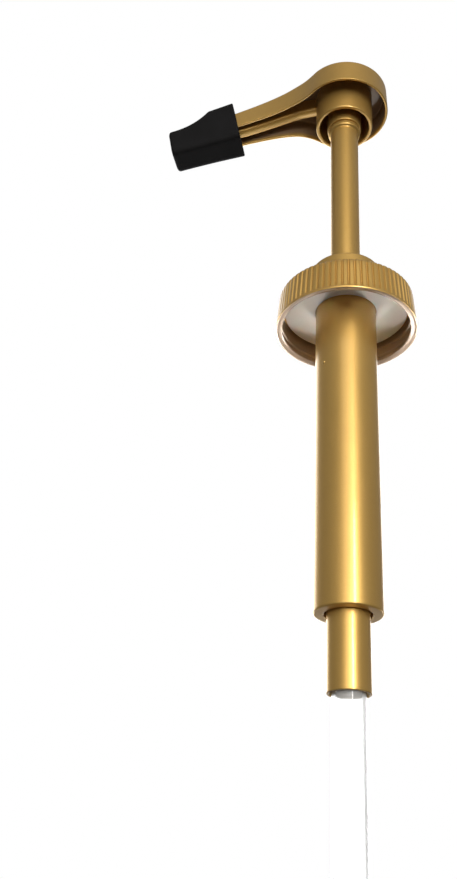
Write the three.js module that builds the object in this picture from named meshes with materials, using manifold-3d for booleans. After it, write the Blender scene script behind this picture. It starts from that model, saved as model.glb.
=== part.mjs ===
// Condiment pump dispenser: a hand pump that screws onto a wide-mouth jar.
// Millimetres, +Z up along the pump axis. The origin is on that axis at the
// underside of the gasket, where the rim of the jar bears. The spout points to -X.
// The plunger is drawn at the top of its stroke.
import * as THREE from "three";
import { mergeVertices } from "three/addons/utils/BufferGeometryUtils.js";
import Module from "manifold-3d";

const wasm = await Module();
wasm.setup();

// Driving dimensions
const GAP = 0.3; // between pieces that touch
const BALL_LIFT = 3; // travel of each valve ball

const CAP = { rimR: 28, topR: 26.9, rimZ: -8.75, topZ: 6.2, boreR: 26.1, ribs: 72, ribDepth: 0.45 };
const NECK_THREAD = { turns: 1.25, pitch: 4.2, startZ: -6.6, ridge: 0.95 };
const GASKET = { outerR: 24.6, thick: 1.5 };
const CYLINDER = { outerR: 12, boreR: 10.5, bottomZ: -126, base: 1.7, baseHoleR: 8.4 };
const VENT = { radius: 0.9, z: -8 }; // lets air into the jar above the piston
const FLANGE = { outerR: 19.5, thick: 2 };
const NECK = { outerR: 10.9, topZ: 12 };
const HUB = { topR: 14.2, baseR: 15.2, topZ: 20.2, recessR: 8.4, recessZ: 14.6 };
const BUSH = { bottomZ: -4, topZ: 14.3, wiperSeatR: 8.6, wiperSeatZ: 11.4 };
const ROD = { outerR: 6.2, boreR: 4.2, bottomZ: -16, topZ: 118 };
const BEAD = { outerR: 7.2, bottomZ: 101.8, topZ: 104.5, round: 0.4 };
const PISTON = { bottomZ: -24, topZ: -12, outerR: 9.7, sealCoreR: 8, sealZ: -20, sealTall: 5 };
const RETAINER = { outerR: 9.2, tall: 2.2 };
const OUTLET = { ballR: 3, seatR: 2.4, seatZ: -21.5 };
const SPRING = { wireR: 0.45, coilR: 7.6, turns: 8.5 };
const WASHER = { outerR: 9.2, innerR: 3.4, thick: 1 };
const FOOT = { collarR: 7.45, collarZ: -152.4, flangeR: 10.2, flangeThick: 1.7, socketR: 6 };
const INLET = { ballR: 4, seatR: 3, seatZ: -125 };
const CAGE = { outerR: 6.6, topZ: -113.4, flangeThick: 1.2, holeR: 1.6, topThick: 1.3, windowWide: 4.4 };
const TUBE = { outerR: 5.7, boreR: 4.6, topZ: -131.3, bottomZ: -250, bevel: 7 };

const HEAD = { skirtR: 20.1, rimZ: 116.1, topZ: 128.6, wall: 1.2, roof: 2.2, wallSlope: 0.0625 };
const BOSS = { outerR: 12.8, innerR: 11.3, bottomZ: 106.7 };
const SOCKET = { outerR: 7.65, bottomZ: 104.8 };
const ARM = { flankStart: 14, end: 64, half: 7.2, taper: 0.03, flare: 9.5 };
const DROOP = { start: 21.4, slope: 0.211, blend: 4 };
const CHANNEL = { outerR: 3.6, boreR: 2.1, z: 122.8, levelTo: 10 };
const ROD_SEAL = { innerR: 4.5, thick: 1.4 };
const BOOT = { start: 28.4, length: 33, rearHalf: 7.5, frontHalf: 6.9 };
const BOOT_SIDE = { bottom: -7, top: 15.6, ledge: 11.8, frontTop: 8 };
const BOOT_MOUTH = { depth: 18.5, low: -1.2, high: 10.2 }; // pocket that takes the end of the spout
const BOOT_TIP = { start: 7, end: 31, low: -4.5, high: 6, half: 4.9 }; // shallower pocket past it

const FINE = 32; // segments round the large rings
const PLAIN = 20; // and round the small ones

// Materials
const gold = () => new THREE.MeshStandardMaterial({ color: 0xb38c4e, roughness: 0.38, metalness: 0.6 });
const rubber = () => new THREE.MeshStandardMaterial({ color: 0x1e1e20, roughness: 0.75, metalness: 0 });
const steel = () => new THREE.MeshStandardMaterial({ color: 0xc4c6c8, roughness: 0.25, metalness: 1 });
const foam = () => new THREE.MeshStandardMaterial({ color: 0xe4e2de, roughness: 0.8, metalness: 0 });
const natural = () => new THREE.MeshStandardMaterial({ color: 0xeef0f0, roughness: 0.4, metalness: 0 });

// A closed geometry as a solid that joins and cuts.
function solid(geometry) {
  const bare = geometry.clone();
  bare.deleteAttribute("normal");
  bare.deleteAttribute("uv");
  const merged = mergeVertices(bare, 1e-4);
  const corners = Array.from(merged.index.array);
  const kept = [];
  for (let i = 0; i < corners.length; i += 3) {
    const [a, b, c] = corners.slice(i, i + 3);
    if (a !== b && b !== c && a !== c) kept.push(a, b, c);
  }
  const build = (indices) =>
    new wasm.Manifold(
      new wasm.Mesh({
        numProp: 3,
        vertProperties: new Float32Array(merged.attributes.position.array),
        triVerts: new Uint32Array(indices),
      }),
    );
  const made = build(kept);
  return made.volume() < 0 ? build(kept.reverse()) : made;
}

// The surface of a solid as a named mesh.
function piece(name, shape, material) {
  const surface = shape.getMesh();
  const positions = new Float32Array(surface.numVert * 3);
  for (let i = 0; i < surface.numVert; i++) {
    const at = i * surface.numProp;
    positions.set(surface.vertProperties.subarray(at, at + 3), i * 3);
  }
  const geometry = new THREE.BufferGeometry();
  geometry.setAttribute("position", new THREE.BufferAttribute(positions, 3));
  geometry.setIndex(new THREE.BufferAttribute(surface.triVerts, 1));
  geometry.computeVertexNormals();
  const mesh = new THREE.Mesh(geometry, material);
  mesh.name = name;
  return mesh;
}

// A body of revolution round Z from a closed profile of [radius, z] points.
function turned(profile, segments = PLAIN) {
  const points = [...profile, profile[0]].map(([r, z]) => new THREE.Vector2(r, z));
  return solid(new THREE.LatheGeometry(points, segments).rotateX(Math.PI / 2));
}

// A plain ring, or a disc where the inner radius is 0.
function ring(outerR, innerR, lowZ, highZ, segments = PLAIN) {
  return turned([[innerR, lowZ], [outerR, lowZ], [outerR, highZ], [innerR, highZ]], segments);
}

// A shape in the XY plane, drawn up from lowZ to highZ.
function raised(shape, lowZ, highZ) {
  const options = { depth: highZ - lowZ, bevelEnabled: false, curveSegments: 1 };
  return solid(new THREE.ExtrudeGeometry(shape, options).translate(0, 0, lowZ));
}

// A round section with a number of sides.
function roundSection(radius, sides) {
  const section = new THREE.Shape();
  for (let i = 0; i < sides; i++) {
    const angle = (2 * Math.PI * i) / sides;
    section[i ? "lineTo" : "moveTo"](radius * Math.cos(angle), radius * Math.sin(angle));
  }
  return section;
}

// A round wire or ridge along a helix round Z.
function coil(radius, wireR, turns, lowZ, highZ, stepsPerTurn, sides) {
  class Helix extends THREE.Curve {
    getPoint(t, target = new THREE.Vector3()) {
      const angle = 2 * Math.PI * turns * t;
      return target.set(radius * Math.cos(angle), radius * Math.sin(angle), lowZ + (highZ - lowZ) * t);
    }
  }
  const steps = Math.round(turns * stepsPerTurn);
  const options = { steps, extrudePath: new Helix(), bevelEnabled: false };
  return solid(new THREE.ExtrudeGeometry(roundSection(wireR, sides), options));
}

// ---- Closure -------------------------------------------------------------

// Outline of the ribbed skirt: flat-topped ribs between narrow grooves.
function ribbedOutline(radius) {
  const outline = new THREE.Shape();
  const pitch = (2 * Math.PI) / CAP.ribs;
  const steps = [[-0.25, 0], [0.25, 0], [0.5, 1]]; // share of a pitch, share of the depth
  for (let rib = 0; rib < CAP.ribs; rib++) {
    for (const [share, depth] of steps) {
      const angle = (rib + share) * pitch;
      const r = radius - depth * CAP.ribDepth;
      const first = rib === 0 && share === steps[0][0];
      outline[first ? "moveTo" : "lineTo"](r * Math.cos(angle), r * Math.sin(angle));
    }
  }
  return outline;
}

// Screw cap: a ribbed skirt with a slight taper, a plain lip at its rim, and a thread inside.
function closureCap() {
  const tall = CAP.topZ - CAP.rimZ;
  const options = { depth: tall, bevelEnabled: false };
  const ribbed = new THREE.ExtrudeGeometry(ribbedOutline(CAP.rimR), options).translate(0, 0, CAP.rimZ);
  const spots = ribbed.attributes.position;
  for (let i = 0; i < spots.count; i++) {
    const share = (spots.getZ(i) - CAP.rimZ) / tall;
    const scale = 1 + share * (CAP.topR / CAP.rimR - 1);
    spots.setX(i, spots.getX(i) * scale);
    spots.setY(i, spots.getY(i) * scale);
  }
  const lip = ring(CAP.rimR + 0.1, CAP.boreR - 0.1, CAP.rimZ, CAP.rimZ + 1.1, FINE);
  const seatZ = GASKET.thick + GAP;
  const flangeZ = seatZ + FLANGE.thick + GAP;
  const flangeR = FLANGE.outerR + GAP;
  const hollow = turned([
    [0, CAP.rimZ - 1],
    [CAP.boreR, CAP.rimZ - 1],
    [CAP.boreR, seatZ],
    [flangeR, seatZ],
    [flangeR, flangeZ],
    [NECK.outerR + GAP, flangeZ],
    [NECK.outerR + GAP, CAP.topZ + 1],
    [0, CAP.topZ + 1],
  ], FINE);
  const { turns, pitch, startZ, ridge } = NECK_THREAD;
  const thread = coil(CAP.boreR + 0.25, ridge, turns, startZ, startZ + turns * pitch, 24, 6);
  return solid(ribbed).add(lip).subtract(hollow).add(thread);
}

// Disc that the rim of the jar presses against the cap.
function gasketDisc() {
  return ring(GASKET.outerR, CYLINDER.outerR + GAP, 0, GASKET.thick, FINE);
}

// Hub that snaps on the neck of the cylinder and stops the boss of the head.
function lockHub() {
  const baseZ = CAP.topZ + GAP;
  const round = 1;
  return turned([
    [NECK.outerR + GAP, baseZ],
    [HUB.baseR, baseZ],
    [HUB.baseR, baseZ + 1.2],
    [HUB.topR, HUB.topZ - round],
    [HUB.topR - 0.3 * round, HUB.topZ - 0.3 * round],
    [HUB.topR - round, HUB.topZ],
    [HUB.recessR + 0.5, HUB.topZ],
    [HUB.recessR, HUB.topZ - 0.5],
    [HUB.recessR, HUB.recessZ],
    [NECK.outerR + GAP, HUB.recessZ],
  ], FINE);
}

// ---- Cylinder and foot ---------------------------------------------------

// Pump cylinder: a long smooth tube with a flange under the cap and an open base.
function pumpCylinder() {
  const flangeLow = GASKET.thick + GAP;
  const flangeHigh = flangeLow + FLANGE.thick;
  const edge = 0.7;
  const shell = turned([
    [CYLINDER.baseHoleR, CYLINDER.bottomZ],
    [CYLINDER.outerR - edge, CYLINDER.bottomZ],
    [CYLINDER.outerR, CYLINDER.bottomZ + edge],
    [CYLINDER.outerR, flangeLow],
    [FLANGE.outerR, flangeLow],
    [FLANGE.outerR, flangeHigh],
    [NECK.outerR, flangeHigh],
    [NECK.outerR, NECK.topZ],
    [CYLINDER.boreR, NECK.topZ],
    [CYLINDER.boreR, CYLINDER.bottomZ + CYLINDER.base],
    [CYLINDER.baseHoleR, CYLINDER.bottomZ + CYLINDER.base],
  ], FINE);
  const drill = new THREE.CylinderGeometry(VENT.radius, VENT.radius, 6, 12);
  return shell.subtract(solid(drill.translate(0, CYLINDER.outerR, VENT.z)));
}

// Foot of the cylinder: the seat of the inlet ball above, the socket of the dip tube below.
function footValveHousing() {
  const flangeLow = CYLINDER.bottomZ + CYLINDER.base + GAP;
  const flangeHigh = flangeLow + FOOT.flangeThick;
  const chamfer = 0.8;
  return turned([
    [INLET.seatR, INLET.seatZ - 6],
    [INLET.seatR, INLET.seatZ],
    [INLET.seatR + 1.7, flangeHigh],
    [FOOT.flangeR, flangeHigh],
    [FOOT.flangeR, flangeLow],
    [FOOT.collarR, flangeLow],
    [FOOT.collarR, FOOT.collarZ + 0.3],
    [FOOT.collarR - 0.3, FOOT.collarZ],
    [FOOT.socketR + chamfer, FOOT.collarZ],
    [FOOT.socketR, FOOT.collarZ + chamfer],
    [FOOT.socketR, INLET.seatZ - 6],
  ].reverse(), FINE);
}

// Dip tube, cut slanting at its foot so that it can't seal against the bottom of the jar.
function dipTube() {
  const tube = ring(TUBE.outerR, TUBE.boreR, TUBE.bottomZ, TUBE.topZ, 32);
  const angle = Math.atan2(TUBE.bevel, 2 * TUBE.outerR);
  const cutter = new THREE.BoxGeometry(40, 40, 20).translate(0, 0, -10);
  cutter.rotateY(-angle).translate(0, 0, TUBE.bottomZ + TUBE.bevel / 2);
  return tube.subtract(solid(cutter));
}

function ball(radius, z) {
  return solid(new THREE.SphereGeometry(radius, 14, 8).translate(0, 0, z));
}

// Height of a ball's centre above the edge of a round seat.
function restHeight(ballR, seatR) {
  return Math.sqrt(ballR * ballR - seatR * seatR) + GAP;
}

// Cage that keeps the inlet ball over its seat and carries the foot of the spring.
function inletBallCage() {
  const lowZ = CYLINDER.bottomZ + CYLINDER.base + FOOT.flangeThick + 2 * GAP;
  const highZ = lowZ + CAGE.flangeThick;
  const innerR = INLET.ballR + 0.8;
  const shell = turned([
    [innerR, lowZ],
    [FOOT.flangeR, lowZ],
    [FOOT.flangeR, highZ],
    [CAGE.outerR, highZ],
    [CAGE.outerR, CAGE.topZ],
    [CAGE.holeR, CAGE.topZ],
    [CAGE.holeR, CAGE.topZ - CAGE.topThick],
    [innerR, CAGE.topZ - CAGE.topThick],
  ]);
  const border = 0.6;
  const windowTall = CAGE.topZ - CAGE.topThick - highZ - 2 * border;
  const windowZ = highZ + border + windowTall / 2;
  const across = new THREE.BoxGeometry(2 * CAGE.outerR + 4, CAGE.windowWide, windowTall);
  const along = new THREE.BoxGeometry(CAGE.windowWide, 2 * CAGE.outerR + 4, windowTall);
  for (const cutter of [across, along]) cutter.translate(0, 0, windowZ);
  return shell.subtract(solid(across)).subtract(solid(along));
}

// ---- Plunger -------------------------------------------------------------

// Guide bush: keeps the rod on the axis and holds the wiper at its top.
function guideBushing() {
  const holeR = ROD.outerR + GAP;
  const flangeLow = NECK.topZ + GAP;
  return turned([
    [holeR, BUSH.bottomZ],
    [CYLINDER.boreR - GAP, BUSH.bottomZ],
    [CYLINDER.boreR - GAP, flangeLow],
    [NECK.outerR, flangeLow],
    [NECK.outerR, BUSH.topZ],
    [BUSH.wiperSeatR, BUSH.topZ],
    [BUSH.wiperSeatR, BUSH.wiperSeatZ],
    [holeR, BUSH.wiperSeatZ],
  ]);
}

// Lip seal that wipes the rod.
function rodWiper() {
  const innerR = ROD.outerR + GAP;
  const outerR = BUSH.wiperSeatR - GAP;
  const lowZ = BUSH.wiperSeatZ + GAP;
  return turned([
    [innerR + 0.5, lowZ],
    [outerR, lowZ],
    [outerR, BUSH.topZ - GAP],
    [innerR, BUSH.topZ - GAP],
    [innerR, BUSH.topZ - 1],
    [innerR + 0.5, BUSH.topZ - 1.6],
  ]);
}

// Hollow rod with a rounded bead just under the socket of the head.
function pistonRod() {
  return turned([
    [ROD.boreR, ROD.bottomZ],
    [ROD.outerR, ROD.bottomZ],
    [ROD.outerR, BEAD.bottomZ],
    [BEAD.outerR - BEAD.round, BEAD.bottomZ + BEAD.round],
    [BEAD.outerR, BEAD.bottomZ + 3 * BEAD.round],
    [BEAD.outerR, BEAD.topZ - BEAD.round],
    [BEAD.outerR - BEAD.round, BEAD.topZ],
    [ROD.outerR, BEAD.topZ],
    [ROD.outerR, ROD.topZ],
    [ROD.boreR, ROD.topZ],
  ], FINE);
}

// Piston: grips the foot of the rod and holds the seat of the outlet ball.
function pistonBody() {
  const gripR = ROD.outerR + GAP;
  const sealTop = PISTON.sealZ + PISTON.sealTall;
  const chamberR = ROD.boreR;
  return turned([
    [OUTLET.seatR, PISTON.bottomZ],
    [PISTON.outerR, PISTON.bottomZ],
    [PISTON.outerR, PISTON.sealZ],
    [PISTON.sealCoreR, PISTON.sealZ],
    [PISTON.sealCoreR, sealTop],
    [PISTON.outerR, sealTop],
    [PISTON.outerR, PISTON.topZ],
    [gripR, PISTON.topZ],
    [gripR, ROD.bottomZ - GAP],
    [chamberR, ROD.bottomZ - GAP],
    [chamberR, OUTLET.seatZ + 1.5],
    [OUTLET.seatR, OUTLET.seatZ],
  ]);
}

// Cup seal round the piston, with its lip towards the chamber below.
function pistonSeal() {
  const innerR = PISTON.sealCoreR + GAP;
  const outerR = CYLINDER.boreR - GAP;
  const lowZ = PISTON.sealZ + GAP;
  const highZ = PISTON.sealZ + PISTON.sealTall - GAP;
  return turned([
    [innerR, lowZ],
    [innerR + 0.4, lowZ],
    [innerR + 0.8, highZ - 1.4],
    [outerR - 0.6, highZ - 1.4],
    [outerR - 0.4, lowZ],
    [outerR, lowZ],
    [outerR, lowZ + 0.8],
    [outerR - 0.2, highZ],
    [innerR, highZ],
  ].reverse());
}

// Ring that locks the piston on the rod.
function pistonRetainer() {
  const lowZ = PISTON.topZ + GAP;
  return ring(RETAINER.outerR, ROD.outerR + GAP, lowZ, lowZ + RETAINER.tall);
}

// Three-armed stop that limits the lift of the outlet ball.
function outletBallStop() {
  const ballTop = OUTLET.seatZ + restHeight(OUTLET.ballR, OUTLET.seatR) + OUTLET.ballR;
  const lowZ = ballTop + BALL_LIFT + GAP;
  const outerR = ROD.boreR - GAP;
  let stop = ring(outerR, outerR - 0.8, lowZ, lowZ + 3, 24);
  for (let arm = 0; arm < 3; arm++) {
    const bar = new THREE.BoxGeometry(outerR - 0.3, 1, 3).translate(outerR / 2 - 0.15, 0, 0);
    bar.rotateZ((arm * 2 * Math.PI) / 3).translate(0, 0, lowZ + 1.5);
    stop = stop.add(solid(bar));
  }
  return stop;
}

// Washer between the piston and the top of the spring.
function springWasher() {
  const highZ = PISTON.bottomZ - GAP;
  return ring(WASHER.outerR, WASHER.innerR, highZ - WASHER.thick, highZ);
}

// Open coil spring from the cage up to the washer.
function returnSpring() {
  const topZ = PISTON.bottomZ - 2 * GAP - WASHER.thick - SPRING.wireR;
  const cageHigh = CYLINDER.bottomZ + CYLINDER.base + FOOT.flangeThick + 2 * GAP + CAGE.flangeThick;
  const bottomZ = cageHigh + GAP + SPRING.wireR;
  return coil(SPRING.coilR, SPRING.wireR, SPRING.turns, bottomZ, topZ, 14, 5);
}

// ---- Head ----------------------------------------------------------------

// Drop of the spout below the level of the head, at a distance from the axis.
function spoutDrop(distance) {
  const past = distance - DROOP.start;
  return (DROOP.slope / 2) * (past + Math.sqrt(past * past + DROOP.blend));
}

// Height of the wall of the head, which is less along the spout.
function wallHeight(distance) {
  return HEAD.topZ - HEAD.rimZ - HEAD.wallSlope * Math.max(0, distance - CHANNEL.levelTo);
}

// Half width of the head, by distance along the spout, past its round part.
function flankHalf(distance) {
  const startHalf = Math.sqrt(HEAD.skirtR ** 2 - ARM.flankStart ** 2);
  const past = distance - ARM.flankStart;
  return ARM.half - ARM.taper * past + (startHalf - ARM.half) * Math.exp(-past / ARM.flare);
}

// Teardrop outline of the head, set in by an offset.
function headOutline(inset) {
  const outline = new THREE.Shape();
  const radius = HEAD.skirtR - inset;
  const startAngle = Math.acos(ARM.flankStart / HEAD.skirtR);
  const flank = [];
  const flankSteps = 14;
  for (let i = 0; i <= flankSteps; i++) {
    const distance = ARM.flankStart + ((ARM.end - inset - ARM.flankStart) * i) / flankSteps;
    flank.push([-distance, flankHalf(distance) - inset]);
  }
  const arcSteps = 28;
  for (let i = 0; i < arcSteps; i++) {
    const angle = Math.PI - startAngle - ((2 * Math.PI - 2 * startAngle) * i) / arcSteps;
    outline[i ? "lineTo" : "moveTo"](radius * Math.cos(angle), radius * Math.sin(angle));
  }
  for (const [x, y] of flank) outline.lineTo(x, -y);
  for (const [x, y] of flank.reverse()) outline.lineTo(x, y);
  return outline;
}

// The side view of the head between its rim and its top, each moved by an offset.
function headSide(lowOffset, highOffset) {
  const side = new THREE.Shape();
  const reach = ARM.end + 5;
  const stations = [-HEAD.skirtR - 1, 10, 16, 19, 21, 23, 26, 30, reach];
  const rim = (distance) => HEAD.rimZ - spoutDrop(distance);
  for (const distance of stations) {
    const z = rim(distance) + lowOffset;
    side[distance === stations[0] ? "moveTo" : "lineTo"](-distance, z);
  }
  for (const distance of stations.reverse()) {
    side.lineTo(-distance, rim(distance) + wallHeight(distance) + highOffset);
  }
  const wide = 2 * HEAD.skirtR + 2;
  const options = { depth: wide, bevelEnabled: false };
  return solid(new THREE.ExtrudeGeometry(side, options).translate(0, 0, -wide / 2).rotateX(Math.PI / 2));
}

// Where the teardrop outline, set in, meets that side view.
function headBlock(inset, lowOffset, highOffset) {
  const lowest = HEAD.rimZ - 30;
  return raised(headOutline(inset), lowest, HEAD.topZ + 5).intersect(headSide(lowOffset, highOffset));
}

// A rounded rod along the spout, following its droop.
function alongSpout(radius, startX, endX, z, sides) {
  const stations = 12;
  const points = [];
  for (let i = 0; i <= stations; i++) {
    const x = startX + ((endX - startX) * i) / stations;
    points.push(new THREE.Vector3(x, 0, z(-x)));
  }
  const options = { steps: 14, extrudePath: new THREE.CatmullRomCurve3(points), bevelEnabled: false };
  return solid(new THREE.ExtrudeGeometry(roundSection(radius, sides), options));
}

// Head: a teardrop shell open below, with a boss, a socket for the rod and a channel to the spout.
function spoutHead() {
  const shell = headBlock(0, 0, 0).subtract(headBlock(HEAD.wall, -5, -HEAD.roof));
  const roofZ = HEAD.topZ - HEAD.roof + 0.1;
  const boss = turned([
    [BOSS.innerR, BOSS.bottomZ],
    [BOSS.outerR, BOSS.bottomZ],
    [BOSS.outerR + 0.2, roofZ],
    [BOSS.innerR - 0.2, roofZ],
  ], FINE);
  const socket = turned([
    [0, SOCKET.bottomZ],
    [SOCKET.outerR - 0.4, SOCKET.bottomZ],
    [SOCKET.outerR, SOCKET.bottomZ + 0.5],
    [SOCKET.outerR, roofZ],
    [0, roofZ],
  ]);
  const channelZ = (distance) => {
    const slope = HEAD.wallSlope * Math.max(0, distance - CHANNEL.levelTo);
    return CHANNEL.z - slope - spoutDrop(distance);
  };
  const channel = alongSpout(CHANNEL.outerR, -SOCKET.outerR + 1, -ARM.end - 2, channelZ, 16);
  const bore = alongSpout(CHANNEL.boreR, -1, -ARM.end - 4, channelZ, 8);
  const shoulderZ = ROD.topZ + ROD_SEAL.thick + 2 * GAP;
  const rodHole = ring(ROD.outerR + GAP, 0, SOCKET.bottomZ - 1, shoulderZ);
  const chamber = ring(ROD.boreR, 0, ROD.topZ, CHANNEL.z + 2.6);
  return shell.add(boss).add(socket).add(channel).subtract(rodHole).subtract(chamber).subtract(bore);
}

// Flat seal between the top of the rod and the shoulder of its socket.
function rodTopSeal() {
  const lowZ = ROD.topZ + GAP;
  return ring(ROD.outerR, ROD_SEAL.innerR, lowZ, lowZ + ROD_SEAL.thick);
}

// Side view of the rubber cap: a tall block at the back, then a top that swoops down to the front.
function bootSide() {
  const { length } = BOOT;
  const { bottom, top, ledge, frontTop } = BOOT_SIDE;
  const side = new THREE.Shape();
  side.moveTo(0, bottom);
  side.lineTo(length - 1, bottom + 0.6);
  side.quadraticCurveTo(length, bottom + 0.7, length, bottom + 1.8);
  side.lineTo(length, frontTop - 1.4);
  side.quadraticCurveTo(length, frontTop - 0.2, length - 1.2, frontTop);
  side.quadraticCurveTo(ledge + 7, frontTop + 1.2, ledge, top - 0.6);
  side.lineTo(0, top);
  return side;
}

// A box between two distances along the spout and two heights, centred across it.
function pocket(start, end, low, high, half) {
  const box = new THREE.BoxGeometry(end - start, high - low, 2 * half);
  return box.translate((start + end) / 2, (low + high) / 2, 0);
}

// Rubber cap pushed over the end of the spout, with a pocket for it and a shallower one past it.
function nozzleBoot() {
  const { start, length, rearHalf, frontHalf } = BOOT;
  const options = { depth: 2 * rearHalf, bevelEnabled: false, curveSegments: 8 };
  const outer = new THREE.ExtrudeGeometry(bootSide(), options).translate(0, 0, -rearHalf);
  const spots = outer.attributes.position;
  for (let i = 0; i < spots.count; i++) {
    const share = spots.getX(i) / length;
    spots.setZ(i, spots.getZ(i) * (1 + share * (frontHalf / rearHalf - 1)));
  }
  const tilt = Math.atan(DROOP.slope);
  const forward = new THREE.Vector3(-Math.cos(tilt), 0, -Math.sin(tilt));
  const upward = new THREE.Vector3(-Math.sin(tilt), 0, Math.cos(tilt));
  const place = new THREE.Matrix4().makeBasis(forward, upward, new THREE.Vector3(0, 1, 0));
  const startX = -DROOP.start - start * Math.cos(tilt);
  place.setPosition(startX, 0, HEAD.rimZ - start * Math.sin(tilt));
  const mouthHalf = flankHalf(-startX) + GAP;
  const mouth = pocket(-2, BOOT_MOUTH.depth, BOOT_MOUTH.low, BOOT_MOUTH.high, mouthHalf);
  const tip = pocket(BOOT_TIP.start, BOOT_TIP.end, BOOT_TIP.low, BOOT_TIP.high, BOOT_TIP.half);
  for (const geometry of [outer, mouth, tip]) geometry.applyMatrix4(place);
  return solid(outer).subtract(solid(mouth)).subtract(solid(tip));
}

// ---- Assembly ------------------------------------------------------------

const inletZ = INLET.seatZ + restHeight(INLET.ballR, INLET.seatR);
const outletZ = OUTLET.seatZ + restHeight(OUTLET.ballR, OUTLET.seatR);

const barrel = new THREE.Group();
barrel.add(
  piece("pump_cylinder", pumpCylinder(), gold()),
  piece("gasket_disc", gasketDisc(), foam()),
  piece("lock_hub", lockHub(), gold()),
  piece("guide_bushing", guideBushing(), natural()),
  piece("rod_wiper", rodWiper(), rubber()),
  piece("foot_valve_housing", footValveHousing(), gold()),
  piece("inlet_ball_cage", inletBallCage(), natural()),
  piece("inlet_ball", ball(INLET.ballR, inletZ), steel()),
  piece("return_spring", returnSpring(), steel()),
  piece("dip_tube", dipTube(), natural()),
);

const closure = new THREE.Group();
closure.add(piece("closure_cap", closureCap(), gold()));

const plunger = new THREE.Group();
plunger.add(
  piece("piston_rod", pistonRod(), gold()),
  piece("piston_body", pistonBody(), natural()),
  piece("piston_seal", pistonSeal(), rubber()),
  piece("piston_retainer", pistonRetainer(), natural()),
  piece("spring_washer", springWasher(), steel()),
  piece("outlet_ball", ball(OUTLET.ballR, outletZ), steel()),
  piece("outlet_ball_stop", outletBallStop(), natural()),
  piece("rod_top_seal", rodTopSeal(), rubber()),
);

const head = new THREE.Group();
head.add(
  piece("spout_head", spoutHead(), gold()),
  piece("nozzle_boot", nozzleBoot(), rubber()),
);

const pump = new THREE.Group();
pump.add(barrel, closure, plunger, head);
export default pump;
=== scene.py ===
# Looks of the condiment pump dispenser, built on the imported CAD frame.
# The script works in millimetres and scales to metres where a mesh is made.
import math

import bmesh
import bpy
import numpy as np
from mathutils import Matrix, Vector


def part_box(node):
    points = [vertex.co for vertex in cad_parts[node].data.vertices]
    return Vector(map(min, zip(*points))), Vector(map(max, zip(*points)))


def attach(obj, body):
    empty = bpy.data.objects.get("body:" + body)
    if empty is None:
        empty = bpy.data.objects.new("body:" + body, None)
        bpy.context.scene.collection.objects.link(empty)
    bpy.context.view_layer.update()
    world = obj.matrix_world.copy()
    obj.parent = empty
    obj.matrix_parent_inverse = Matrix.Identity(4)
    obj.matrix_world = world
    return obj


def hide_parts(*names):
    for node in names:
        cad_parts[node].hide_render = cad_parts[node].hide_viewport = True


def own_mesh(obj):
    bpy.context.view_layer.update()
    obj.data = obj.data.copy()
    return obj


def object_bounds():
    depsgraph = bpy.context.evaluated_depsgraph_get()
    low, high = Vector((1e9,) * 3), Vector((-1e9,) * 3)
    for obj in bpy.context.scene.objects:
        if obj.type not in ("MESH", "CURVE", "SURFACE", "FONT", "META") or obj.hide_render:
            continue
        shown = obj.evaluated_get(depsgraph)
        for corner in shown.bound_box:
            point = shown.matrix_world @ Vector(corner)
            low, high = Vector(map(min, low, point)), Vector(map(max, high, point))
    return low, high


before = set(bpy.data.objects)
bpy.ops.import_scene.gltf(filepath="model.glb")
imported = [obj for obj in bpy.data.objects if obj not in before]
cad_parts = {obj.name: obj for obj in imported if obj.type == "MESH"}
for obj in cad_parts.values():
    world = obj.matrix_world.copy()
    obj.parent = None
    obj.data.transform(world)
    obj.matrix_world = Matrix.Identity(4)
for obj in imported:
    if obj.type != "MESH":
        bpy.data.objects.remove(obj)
CAD_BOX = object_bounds()

MM = 0.001
UP = Vector((0, 0, 1))
ACROSS = Vector((0, 1, 0))
SEGMENTS = 128  # of a turned piece
FINE_SEGMENTS = 160
SLIM_SEGMENTS = 96
MERGE_DISTANCE = 1e-7  # in metres
SHARP_ANGLE = math.radians(38)


def box_mm(node):
    """Lowest and highest corner of a CAD node, in millimetres."""
    low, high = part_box(node)
    return low / MM, high / MM


# ---- Mesh helpers ------------------------------------------------------------


def filleted(points, steps=5):
    """A closed profile of (r, z) or (r, z, rounding) points with each rounded corner drawn as a curve."""
    made = []
    count = len(points)
    for i, point in enumerate(points):
        here = Vector(point[:2])
        radius = point[2] if len(point) > 2 else 0
        if not radius:
            made.append(here)
            continue
        back = Vector(points[i - 1][:2]) - here
        ahead = Vector(points[(i + 1) % count][:2]) - here
        half = back.angle(ahead) / 2
        reach = radius / math.tan(half)
        reach = min(reach, 0.49 * back.length, 0.49 * ahead.length)
        start = here + back.normalized() * reach
        end = here + ahead.normalized() * reach
        for step in range(steps + 1):
            t = step / steps
            made.append((1 - t) ** 2 * start + 2 * t * (1 - t) * here + t * t * end)
    return [(p.x, p.y) for p in made]


def new_object(name, points, faces, inside=()):
    """A mesh object from points in millimetres, smooth shaded except at sharp edges.

    The points whose numbers are in inside carry an "inside" value of 1, which the gold plastic reads to
    paint shade.
    """
    mesh = bpy.data.meshes.new(name)
    mesh.from_pydata([Vector(p) * MM for p in points], [], faces)
    bm = bmesh.new()
    bm.from_mesh(mesh)
    layer = bm.verts.layers.float.new("inside")
    for vert in bm.verts:
        vert[layer] = 1.0 if vert.index in inside else 0.0
    bmesh.ops.remove_doubles(bm, verts=bm.verts, dist=MERGE_DISTANCE)
    bmesh.ops.recalc_face_normals(bm, faces=bm.faces)
    bm.to_mesh(mesh)
    bm.free()
    mesh.shade_smooth()
    mesh.set_sharp_from_angle(angle=SHARP_ANGLE)
    made = bpy.data.objects.new(name, mesh)
    bpy.context.scene.collection.objects.link(made)
    return made


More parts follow.
